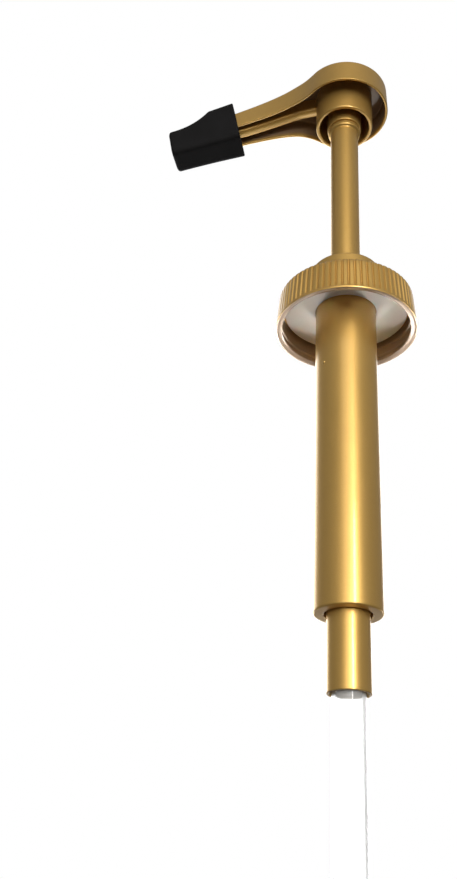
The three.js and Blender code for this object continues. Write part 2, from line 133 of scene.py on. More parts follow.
def loft(rings, closed=True):
    """Points and faces of rings of equal length joined in order, the last to the first if closed."""
    count = len(rings[0])
    points = [p for ring in rings for p in ring]
    faces = []
    for i in range(len(rings) if closed else len(rings) - 1):
        j = (i + 1) % len(rings)
        for k in range(count):
            m = (k + 1) % count
            faces.append((i * count + k, i * count + m, j * count + m, j * count + k))
    return points, faces


def joined(*parts):
    """Several (points, faces) pairs as one."""
    points, faces = [], []
    for some_points, some_faces in parts:
        faces += [tuple(i + len(points) for i in face) for face in some_faces]
        points += some_points
    return points, faces


def turned(profile, segments=SEGMENTS):
    """Points and faces of a closed profile of (r, z) turned round Z."""
    rings = []
    for r, z in profile:
        angles = [2 * math.pi * k / segments for k in range(segments)]
        rings.append([(r * math.cos(a), r * math.sin(a), z) for a in angles])
    return loft(rings)


def swept(path, sections):
    """Points and faces of a closed section carried along a path, capped at both ends."""
    rings = []
    for i, here in enumerate(path):
        ahead = Vector(path[min(i + 1, len(path) - 1)])
        back = Vector(path[max(i - 1, 0)])
        forward = (ahead - back).normalized()
        side = forward.cross(UP).normalized()
        over = side.cross(forward)
        rings.append([tuple(Vector(here) + side * u + over * v) for u, v in sections[i]])
    points, faces = loft(rings, closed=False)
    count = len(rings[0])
    faces.append(tuple(range(count)))
    faces.append(tuple(len(points) - count + k for k in range(count)))
    return points, faces


def ring_section(radius, sides):
    """Points of a circle, as a section to sweep."""
    angles = [2 * math.pi * k / sides for k in range(sides)]
    return [(radius * math.cos(a), radius * math.sin(a)) for a in angles]


def helix(radius, low, high, turns, steps_per_turn):
    """Path round Z from low to high."""
    steps = round(turns * steps_per_turn)
    path = []
    for i in range(steps + 1):
        angle = 2 * math.pi * turns * i / steps
        z = low + (high - low) * i / steps
        path.append((radius * math.cos(angle), radius * math.sin(angle), z))
    return path


def place(made, body, node, material):
    """The piece takes its material, rides on its body and stands for its CAD node."""
    made.data.materials.clear()
    made.data.materials.append(material)
    even = made.modifiers.new("even normals", "WEIGHTED_NORMAL")
    even.keep_sharp = True
    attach(made, body)
    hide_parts(node)
    return made


# ---- Materials ---------------------------------------------------------------


class Nodes:
    """A material whose methods add the kinds of node that the materials here share.

    A value given to a method is a number, a colour or the output socket of another node.
    """

    def __init__(self, name):
        self.material = bpy.data.materials.new(name)
        self.material.use_nodes = True
        self.tree = self.material.node_tree
        self.tree.nodes.clear()
        self.output = self.add("ShaderNodeOutputMaterial")
        self.shader = self.add("ShaderNodeBsdfPrincipled")
        self.tree.links.new(self.shader.outputs["BSDF"], self.output.inputs["Surface"])
        self.where = self.add("ShaderNodeTexCoord").outputs["Object"]

    def add(self, kind, **settings):
        node = self.tree.nodes.new(kind)
        for key, value in settings.items():
            setattr(node, key, value)
        return node

    def link(self, source, target):
        self.tree.links.new(source, target)

    def noise(self, scale, detail=3.0, roughness=0.5, where=None):
        node = self.add("ShaderNodeTexNoise")
        node.inputs["Scale"].default_value = scale
        node.inputs["Detail"].default_value = detail
        node.inputs["Roughness"].default_value = roughness
        self.link(where or self.where, node.inputs["Vector"])
        return node.outputs["Fac"]

    def cells(self, scale, feature="F1", where=None):
        node = self.add("ShaderNodeTexVoronoi", feature=feature)
        node.inputs["Scale"].default_value = scale
        self.link(where or self.where, node.inputs["Vector"])
        return node.outputs["Distance"]

    def stretched(self, scale):
        """Object coordinates scaled by axis: a small number draws a pattern out along that axis."""
        node = self.add("ShaderNodeMapping")
        node.inputs["Scale"].default_value = scale
        self.link(self.where, node.inputs["Vector"])
        return node.outputs["Vector"]

    def spread(self, value, low, high, to_low, to_high):
        """The range from low to high mapped to the range from to_low to to_high."""
        node = self.add("ShaderNodeMapRange")
        limits = {"From Min": low, "From Max": high, "To Min": to_low, "To Max": to_high}
        for name, number in limits.items():
            node.inputs[name].default_value = number
        self.link(value, node.inputs["Value"])
        return node.outputs["Result"]

    def maths(self, operation, first, second):
        node = self.add("ShaderNodeMath", operation=operation)
        for socket, value in zip(node.inputs, (first, second)):
            if isinstance(value, (int, float)):
                socket.default_value = value
            else:
                self.link(value, socket)
        return node.outputs["Value"]

    def blend(self, share, first, second):
        node = self.add("ShaderNodeMix", data_type="RGBA")
        self.link(share, node.inputs["Factor"])
        for socket, value in ((node.inputs["A"], first), (node.inputs["B"], second)):
            if isinstance(value, tuple):
                socket.default_value = (*value, 1.0)
            else:
                self.link(value, socket)
        return node.outputs["Result"]

    def bump(self, height, strength, distance, after=None):
        node = self.add("ShaderNodeBump")
        node.inputs["Strength"].default_value = strength
        node.inputs["Distance"].default_value = distance
        self.link(height, node.inputs["Height"])
        if after is not None:
            self.link(after, node.inputs["Normal"])
        return node.outputs["Normal"]

    def set(self, **values):
        """Sockets of the shader by name, with an underscore for each space."""
        for key, value in values.items():
            socket = self.shader.inputs[key.replace("_", " ")]
            if isinstance(value, tuple):
                socket.default_value = (*value, 1.0) if len(value) == 3 else value
            elif isinstance(value, (int, float)):
                socket.default_value = value
            else:
                self.link(value, socket)


def gold_plastic():
    """Injection-moulded plastic with fine gold pigment: flow marks, pigment flakes, light scuffs.

    Inside the cap and the head the colour and the metal are painted darker, browner and duller: painted
    shade in these hollows.
    """
    m = Nodes("gold_plastic")
    flow = m.noise(22, 2.0, 0.45, m.stretched((1.0, 1.0, 0.35)))
    cloud = m.noise(70, 3.0, 0.55)
    flakes = m.cells(5200)
    scuffs = m.noise(420, 4.0, 0.7, m.stretched((1.0, 1.0, 0.08)))
    base = m.blend(m.spread(flow, 0.35, 0.68, 0.0, 1.0), (0.60, 0.370, 0.098), (0.66, 0.415, 0.116))
    base = m.blend(m.spread(flakes, 0.05, 0.55, 0.35, 0.0), base, (0.80, 0.55, 0.20))
    base = m.blend(m.spread(cloud, 0.45, 0.75, 0.0, 0.16), base, (0.45, 0.27, 0.09))
    # Painted shade: where "inside" is 1 the colour turns to a darker brown and the metal drops.
    inside = m.add("ShaderNodeAttribute", attribute_name="inside").outputs["Fac"]
    painted_shade = m.blend(m.spread(cloud, 0.3, 0.7, 0.0, 1.0), (0.27, 0.180, 0.108), (0.33, 0.222, 0.134))
    base = m.blend(inside, base, painted_shade)
    metal = m.spread(inside, 0.0, 1.0, 0.78, 0.3)
    rough = m.spread(cloud, 0.3, 0.7, 0.38, 0.44)
    rough = m.maths("ADD", rough, m.spread(scuffs, 0.62, 0.8, 0.0, 0.14))
    grain = m.bump(m.noise(2600, 3.0, 0.6), 0.10, 0.00006)
    m.set(Base_Color=base, Roughness=rough, Metallic=metal, Normal=grain)
    m.set(IOR=1.5, Coat_Weight=0.5, Coat_Roughness=0.12)
    return m.material


def boot_rubber():
    """Matt black rubber with a fine leathery grain and faint dust."""
    m = Nodes("boot_rubber")
    patches = m.noise(110, 4.0, 0.6)
    dust = m.noise(900, 5.0, 0.7)
    base = m.blend(m.spread(patches, 0.35, 0.7, 0.0, 1.0), (0.0055, 0.0055, 0.0062), (0.009, 0.009, 0.0102))
    base = m.blend(m.spread(dust, 0.66, 0.85, 0.0, 0.25), base, (0.09, 0.088, 0.085))
    rough = m.spread(patches, 0.3, 0.7, 0.68, 0.82)
    grain = m.bump(m.cells(1500, "SMOOTH_F1"), 0.16, 0.00012)
    grain = m.bump(m.noise(4200, 3.0, 0.6), 0.2, 0.00005, grain)
    m.set(Base_Color=base, Roughness=rough, Normal=grain, Specular_IOR_Level=0.12, IOR=1.52)
    return m.material


def gasket_foam():
    """Off-white closed-cell foam with a fine pitted skin."""
    m = Nodes("gasket_foam")
    patches = m.noise(60, 3.0, 0.5)
    pits = m.cells(1700)
    base = m.blend(m.spread(patches, 0.3, 0.7, 0.0, 1.0), (0.73, 0.68, 0.61), (0.82, 0.77, 0.70))
    # Painted shade: the pits are painted greyer.
    base = m.blend(m.spread(pits, 0.0, 0.22, 0.35, 0.0), base, (0.56, 0.55, 0.52))
    grain = m.bump(pits, 0.22, 0.00012)
    rough = m.spread(patches, 0.3, 0.7, 0.72, 0.84)
    m.set(Base_Color=base, Roughness=rough, Normal=grain, Specular_IOR_Level=0.25)
    m.set(Subsurface_Weight=0.12, Subsurface_Scale=0.002)
    return m.material


def milky_plastic(name, low, high, transmission, rough_low, rough_high, ior=1.5):
    """Natural polypropylene or polyethylene: cloudy, with drawing marks along the axis."""
    m = Nodes(name)
    marks = m.noise(900, 3.0, 0.6, m.stretched((1.0, 1.0, 0.02)))
    cloud = m.noise(90, 3.0, 0.5)
    base = m.blend(m.spread(cloud, 0.3, 0.7, 0.0, 1.0), low, high)
    rough = m.spread(cloud, 0.3, 0.7, rough_low, rough_high)
    grain = m.bump(marks, 0.05, 0.00005)
    m.set(Base_Color=base, Roughness=rough, Normal=grain, IOR=ior)
    m.set(Transmission_Weight=transmission)
    return m.material


def seal_rubber():
    """Black nitrile rubber of the seals: smooth, with moulding bloom."""
    m = Nodes("seal_rubber")
    bloom = m.noise(240, 4.0, 0.6)
    base = m.blend(m.spread(bloom, 0.4, 0.75, 0.0, 1.0), (0.012, 0.012, 0.013), (0.03, 0.03, 0.031))
    rough = m.spread(bloom, 0.3, 0.7, 0.42, 0.6)
    grain = m.bump(m.noise(3000, 2.0, 0.5), 0.12, 0.00005)
    m.set(Base_Color=base, Roughness=rough, Normal=grain)
    return m.material


def stainless():
    """Drawn stainless steel with fine drawing lines."""
    m = Nodes("stainless")
    lines = m.noise(2400, 3.0, 0.6, m.stretched((1.0, 1.0, 0.1)))
    tone = m.noise(150, 3.0, 0.5)
    base = m.blend(m.spread(tone, 0.3, 0.7, 0.0, 1.0), (0.52, 0.53, 0.54), (0.62, 0.625, 0.63))
    rough = m.spread(lines, 0.3, 0.7, 0.18, 0.32)
    grain = m.bump(lines, 0.12, 0.00004)
    m.set(Base_Color=base, Roughness=rough, Metallic=1.0, Normal=grain)
    return m.material


GOLD = gold_plastic()
BOOT_RUBBER = boot_rubber()
FOAM = gasket_foam()
TUBE_PLASTIC = milky_plastic(
    "tube_plastic", (0.86, 0.87, 0.88), (0.93, 0.935, 0.94),
    transmission=0.75, rough_low=0.08, rough_high=0.15, ior=1.42,
)
NATURAL = milky_plastic(
    "natural_plastic", (0.78, 0.79, 0.78), (0.86, 0.865, 0.86),
    transmission=0.15, rough_low=0.32, rough_high=0.44,
)
SEAL_RUBBER = seal_rubber()
STEEL = stainless()


# ---- Closure -----------------------------------------------------------------

GAP = 0.3  # between pieces that touch
RIBS = 72
RIB_POINTS = 16  # round one rib and its groove
RIB_DEPTH = 0.58
RIB_CREST = 0.08  # share of the crest that is flat
RIB_FLANK = 0.40  # share over which the groove falls away
CAP_RIM = box_mm("closure_cap")[0].z
CAP_TOP = box_mm("closure_cap")[1].z
RIM_R = 28.0  # of the cone of the ribs, at the rim and at the top
CAP_TOP_R = 26.9
CAP_BORE_R = 26.1
CAP_SHOULDER = 1.2  # rounding between the ribs and the top
CAP_TOP_RINGS = (25.0, 20.0, 14.0)
LIP_TALL = 1.1  # smooth band under the ribs
LIP_R = 28.1
LIP_FOOT = ((-1.1, 0.0), (-0.35, 0.0), (-0.08, 0.12), (0.0, 0.4))  # (r from the lip, z from the rim)
LIP_HEAD = ((0.0, -0.3), (-0.08, -0.1))  # (r from the lip, z from the lip's top)
RIB_RUNOUT = 0.25  # height over which a rib starts
NECK_HOLE_R = 11.2  # hole in the cap's top and in the hub for the neck of the cylinder
FLANGE_ROOM = {"r": 19.8, "tall": 2.3}  # space in the cap for the flange of the cylinder
THREAD = {"turns": 1.25, "low": 2.15, "high": 7.4, "bury": 0.15, "thin": 0.2, "thick": 0.75}
THREAD_STEPS = 72  # in a turn
THREAD_SIDES = 14
THREAD_FADE = 8  # steps over which each end of the ridge thins out
RIM_RINGS = 2  # rings of the outside that still take the painted shade of the inside of the cap
HOLE_RINGS = 10  # rings from the hole in the top to the bore, where that inside begins
HUB_R = 15.2
HUB_TOP_R = 14.25
HUB_FOOT = 1.2
RECESS_R = 8.4  # hole in the hub's top that the rod passes
RECESS_FLOOR = 14.6
GASKET_BORE_R = 12.3


def rib_shape(share):
    """Depth of the groove between two ribs, 0 on the crest and 1 at the bottom, by share of a pitch."""
    from_crest = abs(share - 0.5) * 2  # 1 at the crest, 0 in the middle of the groove
    t = min(1.0, max(0.0, (from_crest - RIB_CREST) / RIB_FLANK))
    return 1 - t * t * (3 - 2 * t)


def cap_side(z):
    """Outside radius of the cap at a height."""
    return RIM_R + (CAP_TOP_R - RIM_R) / (CAP_TOP - CAP_RIM) * (z - CAP_RIM)


def cap_outside():
    """Profile from the rim up over the ribs to the flat top, as (r, z, depth share of the ribs)."""
    lip_top = CAP_RIM + LIP_TALL
    points = [(LIP_R + r, CAP_RIM + z, 0) for r, z in LIP_FOOT]
    points += [(LIP_R + r, lip_top + z, 0) for r, z in LIP_HEAD]
    points.append((cap_side(lip_top), lip_top, 0.0))
    points.append((cap_side(lip_top + RIB_RUNOUT), lip_top + RIB_RUNOUT, 0.6))
    for z in np.linspace(lip_top + 0.6, CAP_TOP - 1.3, 7):
        points.append((cap_side(z), z, 1.0))
    steps = 6
    for step in range(1, steps + 1):
        angle = math.pi / 2 * step / steps
        r = cap_side(CAP_TOP) - CAP_SHOULDER + CAP_SHOULDER * math.cos(angle)
        z = CAP_TOP - CAP_SHOULDER + CAP_SHOULDER * math.sin(angle)
        points.append((r, z, 1.0 - 0.9 * step / steps))
    return points + [(r, CAP_TOP, 0) for r in CAP_TOP_RINGS]


def cap_inside():
    """Profile from the hole in the top, round the room for the flange, down the bore to the rim."""
    flange_low = box_mm("gasket_disc")[1].z + GAP
    flange_high = flange_low + FLANGE_ROOM["tall"]
    return [(r, z, 0) for r, z in filleted([
        (NECK_HOLE_R, CAP_TOP, 0.3),
        (NECK_HOLE_R, flange_high),
        (FLANGE_ROOM["r"], flange_high),
        (FLANGE_ROOM["r"], flange_low),
        (CAP_BORE_R, flange_low, 0.4),
        (CAP_BORE_R, CAP_RIM, 0.35),
    ])]


def cap_thread():
    """Helical ridge in the bore, thinner towards both ends."""
    low, high = CAP_RIM + THREAD["low"], CAP_RIM + THREAD["high"]
    path = helix(CAP_BORE_R + THREAD["bury"], low, high, THREAD["turns"], THREAD_STEPS)
    sections = []
    for i in range(len(path)):
        fade = min(1.0, i / THREAD_FADE, (len(path) - 1 - i) / THREAD_FADE)
        radius = THREAD["thin"] + (THREAD["thick"] - THREAD["thin"]) * fade
        sections.append(ring_section(radius, THREAD_SIDES))
    return swept(path, sections)


def closure_cap():
    outside, bore = cap_outside(), cap_inside()
    segments = RIBS * RIB_POINTS
    rings = []
    for r, z, ribbed in outside + bore:
        ring = []
        for k in range(segments):
            angle = 2 * math.pi * k / segments
            here = r - ribbed * RIB_DEPTH * rib_shape((k % RIB_POINTS) / RIB_POINTS)
            ring.append((here * math.cos(angle), here * math.sin(angle), z))
        rings.append(ring)
    points, faces = joined(loft(rings), cap_thread())
    # The inside of the cap and the lowest rings of the outside get painted shade.
    first_dull = (len(outside) + HOLE_RINGS) * segments
    painted_shade = {*range(RIM_RINGS * segments), *range(first_dull, len(points))}
    return new_object("closure_cap_shell", points, faces, painted_shade)


def lock_hub():
    low, high = box_mm("lock_hub")
    return new_object("lock_hub_body", *turned(filleted([
        (NECK_HOLE_R, low.z),
        (HUB_R, low.z, 0.3),
        (HUB_R, low.z + HUB_FOOT, 0.4),
        (HUB_TOP_R, high.z, 1.0),
        (RECESS_R + 0.5, high.z, 0.3),
        (RECESS_R, high.z - 0.5, 0.2),
        (RECESS_R, RECESS_FLOOR, 0.2),
        (NECK_HOLE_R, RECESS_FLOOR),
    ])))


def gasket_disc():
    low, high = box_mm("gasket_disc")
    return new_object("gasket_foam_disc", *turned(filleted([
        (GASKET_BORE_R, low.z, 0.15),
        (high.x, low.z, 0.3),
        (high.x, high.z, 0.3),
        (GASKET_BORE_R, high.z, 0.15),
    ])))


# ---- Cylinder, foot and tube ---------------------------------------------------

CYLINDER = {"outer": 12.0, "bore": 10.5, "neck": 10.9, "hole": 8.4, "base": 1.7}
FLANGE_LOW = 1.8  # flange of the cylinder, which hangs on the gasket
FLANGE_HIGH = 3.8
PIP = {"angle": math.radians(230), "z": -29.2, "wide": 0.7, "tall": 0.35}
PIP_DOME = ((1.0, -0.3), (1.0, 0.0), (0.85, 0.5), (0.55, 0.85), (0.0, 1.0))  # shares of (wide, tall)
PIP_SIDES = 20
COLLAR = {"outer": 7.45, "mouth": 6.75, "mouth_tall": 1.1, "socket": 6.0, "socket_top": -131.0}
INLET = {"hole": 3.0, "seat": -125.0, "bore": 4.7}
FOOT_FLANGE = {"r": 10.2, "tall": 1.7}
TUBE = {"outer": 5.7, "bore": 4.6, "bevel": 7.0, "rings": 14}


def moulded_pip(radius):
    """Small dome left on the wall of the cylinder by its mould."""
    outward = Vector((math.cos(PIP["angle"]), math.sin(PIP["angle"]), 0))
    side = UP.cross(outward)
    rings = []
    for reach, lift in PIP_DOME:
        centre = outward * (radius + PIP["tall"] * lift) + UP * PIP["z"]
        ring = []
        for across, over in ring_section(PIP["wide"] * reach, PIP_SIDES):
            ring.append(tuple(centre + side * across + UP * over))
        rings.append(ring)
    return loft(rings, closed=False)


def pump_cylinder():
    low, high = box_mm("pump_cylinder")
    floor = low.z + CYLINDER["base"]
    body = turned(filleted([
        (CYLINDER["hole"], low.z, 0.25),
        (CYLINDER["outer"], low.z, 0.75),
        (CYLINDER["outer"], FLANGE_LOW, 0.4),
        (high.x, FLANGE_LOW, 0.3),
        (high.x, FLANGE_HIGH, 0.3),
        (CYLINDER["neck"], FLANGE_HIGH, 0.2),
        (CYLINDER["neck"], high.z, 0.2),
        (CYLINDER["bore"], high.z, 0.1),
        (CYLINDER["bore"], floor, 0.4),
        (CYLINDER["hole"], floor, 0.2),
    ]), FINE_SEGMENTS)
    return new_object("pump_cylinder_body", *joined(body, moulded_pip(CYLINDER["outer"])))


def foot_valve_housing():
    low, high = box_mm("foot_valve_housing")
    return new_object("foot_valve_body", *turned(filleted([
        (INLET["hole"], COLLAR["socket_top"]),
        (INLET["hole"], INLET["seat"], 0.3),
        (INLET["bore"], high.z, 0.2),
        (FOOT_FLANGE["r"], high.z, 0.2),
        (FOOT_FLANGE["r"], high.z - FOOT_FLANGE["tall"], 0.2),
        (COLLAR["outer"], high.z - FOOT_FLANGE["tall"], 0.3),
        (COLLAR["outer"], low.z, 0.35),
        (COLLAR["mouth"], low.z, 0.15),
        (COLLAR["socket"], low.z + COLLAR["mouth_tall"], 0.3),
        (COLLAR["socket"], COLLAR["socket_top"]),
    ])))


def dip_tube():
    """Tube with its foot cut at a slant."""
    low, high = box_mm("dip_tube")
    outer, bore, bevel = TUBE["outer"], TUBE["bore"], TUBE["bevel"]
    heights = np.linspace(low.z + bevel + 1, high.z, TUBE["rings"])
    profile = [(bore, low.z), (outer, low.z)]
    profile += [(outer, z) for z in heights]
    profile += [(bore, z) for z in heights[::-1]]
    points, faces = turned(profile, SLIM_SEGMENTS)
    cut = []
    for x, y, z in points:
        if z == low.z:
            z = low.z + bevel * (x + outer) / (2 * outer)
        cut.append((x, y, z))
    return new_object("dip_tube_body", cut, faces)


# ---- Plunger -------------------------------------------------------------------

ROD = {"outer": 6.2, "bore": 4.2}
BEAD = {"r": 7.2, "low": 101.8, "chamfer": 0.5, "tall": 2.7}
SPRING = {"wire": 0.45, "coil": 7.6, "turns": 8.5, "steps": 40, "sides": 12}


def piston_rod():
    """Hollow rod with a rounded bead under the socket of the head."""
    low, high = box_mm("piston_rod")
    bead_high = BEAD["low"] + BEAD["tall"]
    return new_object("piston_rod_tube", *turned(filleted([
        (ROD["bore"], low.z, 0.2),
        (ROD["outer"], low.z, 0.2),
        (ROD["outer"], BEAD["low"], 0.3),
        (BEAD["r"], BEAD["low"] + BEAD["chamfer"], 0.7),
        (BEAD["r"], bead_high, 0.6),
        (ROD["outer"], bead_high, 0.2),
        (ROD["outer"], high.z, 0.2),
        (ROD["bore"], high.z, 0.2),
    ])))


def return_spring():
    low, high = box_mm("return_spring")
    wire = SPRING["wire"]
    path = helix(SPRING["coil"], low.z + wire, high.z - wire, SPRING["turns"], SPRING["steps"])
    sections = [ring_section(wire, SPRING["sides"])] * len(path)
    return new_object("return_spring_wire", *swept(path, sections))


# ---- Head ----------------------------------------------------------------------

SKIRT_R = 20.1  # round part of the skirt
HEAD_RIM = 116.1  # height of the skirt's lower edge at the axis
HEAD_TOP = box_mm("spout_head")[1].z
WALL = 1.1  # thickness of the skirt
ROOF = 2.2  # thickness of the top
DRAFT = 0.35  # lean of the skirt
FLANK_START = 14.0  # distance from the axis where the round of the head ends
ARM_END = 64.0
ARM_HALF = 7.2  # half the width of the arm
ARM_TAPER = 0.03
NECKING = 9.5  # distance over which the head narrows to the arm
DROOP_START = 21.4  # distance from the axis where the spout starts to droop
DROOP = 0.211  # slope of the spout
DROOP_BEND = 4  # larger for a softer bend
SKIRT_TAPER = 0.0625  # the skirt gets lower along the arm
TAPER_START = 10
ROUND_IN = 0.9  # rounding between the skirt and the roof, inside and outside
ROUND_OUT = 1.1
RIM_EDGE = 0.35  # rounding of the rim
HEAD_SHARES = (0.0, 0.25, 0.5, 0.75, 0.92)  # rings of the flat parts, from the middle line outwards
BOSS = {"outer": 12.8, "inner": 11.3, "low": 106.7, "lean": 0.2}
SOCKET = {"outer": 7.65, "inner": 6.5, "low": 104.8, "lean": 0.1}
CHANNEL = {"start": 6.0, "half": 2.5, "crown": 2.4, "recess": 0.4, "stations": 40, "arc_steps": 20}
CHANNEL_ROUND = 2 / 3  # power that squares the section a little
CHANNEL_RISE = {"level_from": 46, "over": 28, "height": 2.3, "power": 1.3}


def drop(distance):
    """Drop of the spout below the level of the head, at a distance from the axis."""
    past = distance - DROOP_START
    return DROOP / 2 * (past + math.sqrt(past * past + DROOP_BEND))


def wall_height(distance):
    """Height from the rim to the top at a distance from the axis."""
    return HEAD_TOP - HEAD_RIM - SKIRT_TAPER * max(0.0, distance - TAPER_START)


def rim(offset):
    """Height over the axis distance of a line that follows the rim."""
    return lambda s: HEAD_RIM - drop(s) + offset


def top(offset):
    """Height over the axis distance of a line that follows the top."""
    return lambda s: HEAD_RIM - drop(s) + wall_height(s) + offset


def between(first, second, share):
    """A line between two others, at a share of the way from the first to the second."""
    return lambda s: (1 - share) * first(s) + share * second(s)


def flank_half(distance):
    """Half the width of the arm at a distance from the axis."""
    start_half = math.sqrt(SKIRT_R ** 2 - FLANK_START ** 2)
    past = distance - FLANK_START
    return ARM_HALF - ARM_TAPER * past + (start_half - ARM_HALF) * math.exp(-past / NECKING)


def head_outline(inset):
    """Teardrop outline as (x, y, x of the middle line) points, set in by an offset."""
    radius = SKIRT_R - inset
    start_angle = math.acos(FLANK_START / SKIRT_R)
    sweep = math.pi - start_angle
    points = []
    arc_steps = 96
    for i in range(arc_steps):
        angle = sweep - 2 * sweep * i / arc_steps
        x, y = radius * math.cos(angle), radius * math.sin(angle)
        points.append((x, y, min(x, 0.0)))
    flank_steps = 48
    end = ARM_END - inset
    stations = [FLANK_START + (end - FLANK_START) * i / flank_steps for i in range(flank_steps + 1)]
    near = [(-s, -(flank_half(s) - inset), -s) for s in stations]
    points += near
    across = flank_half(end) - inset
    for share in (-0.5, 0.0, 0.5):
        points.append((-end, share * across, -end))
    points += [(x, -y, mid) for x, y, mid in reversed(near)]
    return points


def head_ring(inset, height_at, share=1.0):
    """Ring of the head's shell; share 1 is on the outline and 0 is on the middle line."""
    ring = []
    for x, y, mid in head_outline(inset):
        along = mid + (x - mid) * share
        ring.append((along, y * share, height_at(-along)))
    return ring


def inner_shell():
    """Rings from the middle of the roof's underside to the inner edge of the rim."""
    rings = [head_ring(WALL + 1.0, top(-ROOF), share) for share in HEAD_SHARES]
    for step in range(6):
        angle = math.pi / 2 * step / 5
        inset = WALL + DRAFT + ROUND_IN * (1 - math.sin(angle))
        rings.append(head_ring(inset, top(-ROOF - ROUND_IN * (1 - math.cos(angle)))))
    for share in (0.25, 0.5, 0.75):
        height_at = between(top(-ROOF - ROUND_IN), rim(RIM_EDGE), share)
        rings.append(head_ring(WALL + DRAFT * (1 - share), height_at))
    return rings


def outer_shell():
    """Rings round the rim, up the outside and over the top to its middle."""
    rings = []
    for step in range(9):
        angle = math.pi * step / 8
        bulge = 1 - 0.25 * math.sin(angle) ** 2
        inset = WALL / 2 + (WALL / 2) * math.cos(angle) * bulge
        rings.append(head_ring(inset, rim(RIM_EDGE * (1 - math.sin(angle)))))
    for share in (0.15, 0.35, 0.6, 0.85):
        rings.append(head_ring(DRAFT * share, between(rim(RIM_EDGE), top(-ROUND_OUT), share)))
    for step in range(8):
        angle = math.pi / 2 * step / 7
        inset = DRAFT + ROUND_OUT * (1 - math.cos(angle))
        rings.append(head_ring(inset, top(-ROUND_OUT * (1 - math.sin(angle)))))
    return rings + [head_ring(DRAFT + ROUND_OUT, top(0.0), share) for share in HEAD_SHARES[::-1]]


def spout_channel():
    """Rounded ridge under the roof of the arm, which comes down to the rim along the spout."""
    path, sections = [], []
    half, crown = CHANNEL["half"], CHANNEL["crown"]
    for s in np.linspace(CHANNEL["start"], ARM_END - 2, CHANNEL["stations"]):
        rise = max(0.0, (CHANNEL_RISE["level_from"] - s) / CHANNEL_RISE["over"]) ** CHANNEL_RISE["power"]
        low = rim(CHANNEL["recess"] + CHANNEL_RISE["height"] * rise)(s)
        high = top(0.3 - ROOF)(s)
        section = [(half, high - low)]
        for step in range(CHANNEL["arc_steps"] + 1):
            angle = math.pi * step / CHANNEL["arc_steps"]
            across = math.copysign(abs(math.cos(angle)) ** CHANNEL_ROUND, math.cos(angle))
            section.append((half * across, crown * (1 - math.sin(angle) ** CHANNEL_ROUND)))
        section.append((-half, high - low))
        path.append((-s, 0.0, low))
        sections.append(section)
    return swept(path, sections)


def spout_head():
    """Shell of the head with the boss ring, the socket for the rod and the channel of the spout."""
    under = inner_shell()
    shell = loft(under + outer_shell(), closed=False)
    roof = HEAD_TOP - ROOF + 0.2
    boss = turned(filleted([
        (BOSS["inner"], BOSS["low"], 0.5),
        (BOSS["outer"], BOSS["low"], 0.6),
        (BOSS["outer"] + BOSS["lean"], roof),
        (BOSS["inner"] - BOSS["lean"], roof),
    ]))
    socket = turned(filleted([
        (SOCKET["inner"], SOCKET["low"], 0.3),
        (SOCKET["outer"], SOCKET["low"], 0.7),
        (SOCKET["outer"] + SOCKET["lean"], roof),
        (SOCKET["inner"], roof),
    ]), SLIM_SEGMENTS)
    # The underside of the shell gets painted shade.
    painted_shade = range(len(under) * len(under[0]))
    return new_object("spout_head_shell", *joined(shell, boss, socket, spout_channel()), painted_shade)


# ---- Boot ----------------------------------------------------------------------

BOOT_START = 28.4  # along the spout, from where it starts to droop
BOOT_LENGTH = 33.0
BOOT_LEDGE = {"at": 12.2, "high": 15.6, "slope": 0.05, "foot": 14.99, "tip": 8.0, "power": 2.5}
BOOT_SIDE = {"half": 7.5, "taper": 0.6, "low": -7.0, "rise": 0.018, "slump": 0.25}
FIT_AT = 48.5  # distance along the arm whose width sets that of the pocket
BOOT_MOUTH = {"deep": 18.5, "low": -1.2, "high": 10.2, "middle": 4.5, "flare": 0.35}
BOOT_FRONT = {"half": 5.4, "low": -4.9, "high": 6.5, "middle": 0.8}
TIP_ROUND = 1.5
MOUTH_ROUND = 0.5
TILT = math.atan(DROOP)
FORWARD = Vector((-math.cos(TILT), 0, -math.sin(TILT)))
OVER = Vector((-math.sin(TILT), 0, math.cos(TILT)))
BOOT_ORIGIN = Vector((-DROOP_START, 0, HEAD_RIM)) + FORWARD * BOOT_START
CORNER_STEPS = 8


def boot_top(u):
    """Height of the boot's top over the rim line, by distance from its open end."""
    if u < BOOT_LEDGE["at"]:
        return BOOT_LEDGE["high"] - BOOT_LEDGE["slope"] * u
    t = (u - BOOT_LEDGE["at"]) / (BOOT_LENGTH - BOOT_LEDGE["at"])
    return BOOT_LEDGE["tip"] + (BOOT_LEDGE["foot"] - BOOT_LEDGE["tip"]) * (1 - t) ** BOOT_LEDGE["power"]


def boot_section(half, low, high, low_round, high_round):
    """Rounded box outline in (across, height), with the same number of points for any size."""
    low_round = min(low_round, half - 0.05, (high - low) / 2 - 0.02)
    high_round = min(high_round, half - 0.05, (high - low) / 2 - 0.02)
    corners = [
        (half - low_round, low + low_round, low_round, -90),
        (half - high_round, high - high_round, high_round, 0),
        (-half + high_round, high - high_round, high_round, 90),
        (-half + low_round, low + low_round, low_round, 180),
    ]
    points = []
    for across, height, radius, start in corners:
        for step in range(CORNER_STEPS + 1):
            angle = math.radians(start + 90 * step / CORNER_STEPS)
            points.append((across + radius * math.cos(angle), height + radius * math.sin(angle)))
    spaced = []
    for i, here in enumerate(points):
        ahead = points[(i + 1) % len(points)]
        spaced.append(here)
        if i % (CORNER_STEPS + 1) == CORNER_STEPS:
            for share in (0.08, 0.3, 0.5, 0.7, 0.92):
                spaced.append(tuple(a + (b - a) * share for a, b in zip(here, ahead)))
    return spaced


def boot_ring(u, section):
    """A section set square to the spout, at a distance from the open end of the boot."""
    return [tuple(BOOT_ORIGIN + FORWARD * u + OVER * v + ACROSS * w) for w, v in section]


def shrunk(section, middle, share):
    """A section drawn in towards a point on its middle line."""
    return [(w * share, middle + (v - middle) * share) for w, v in section]


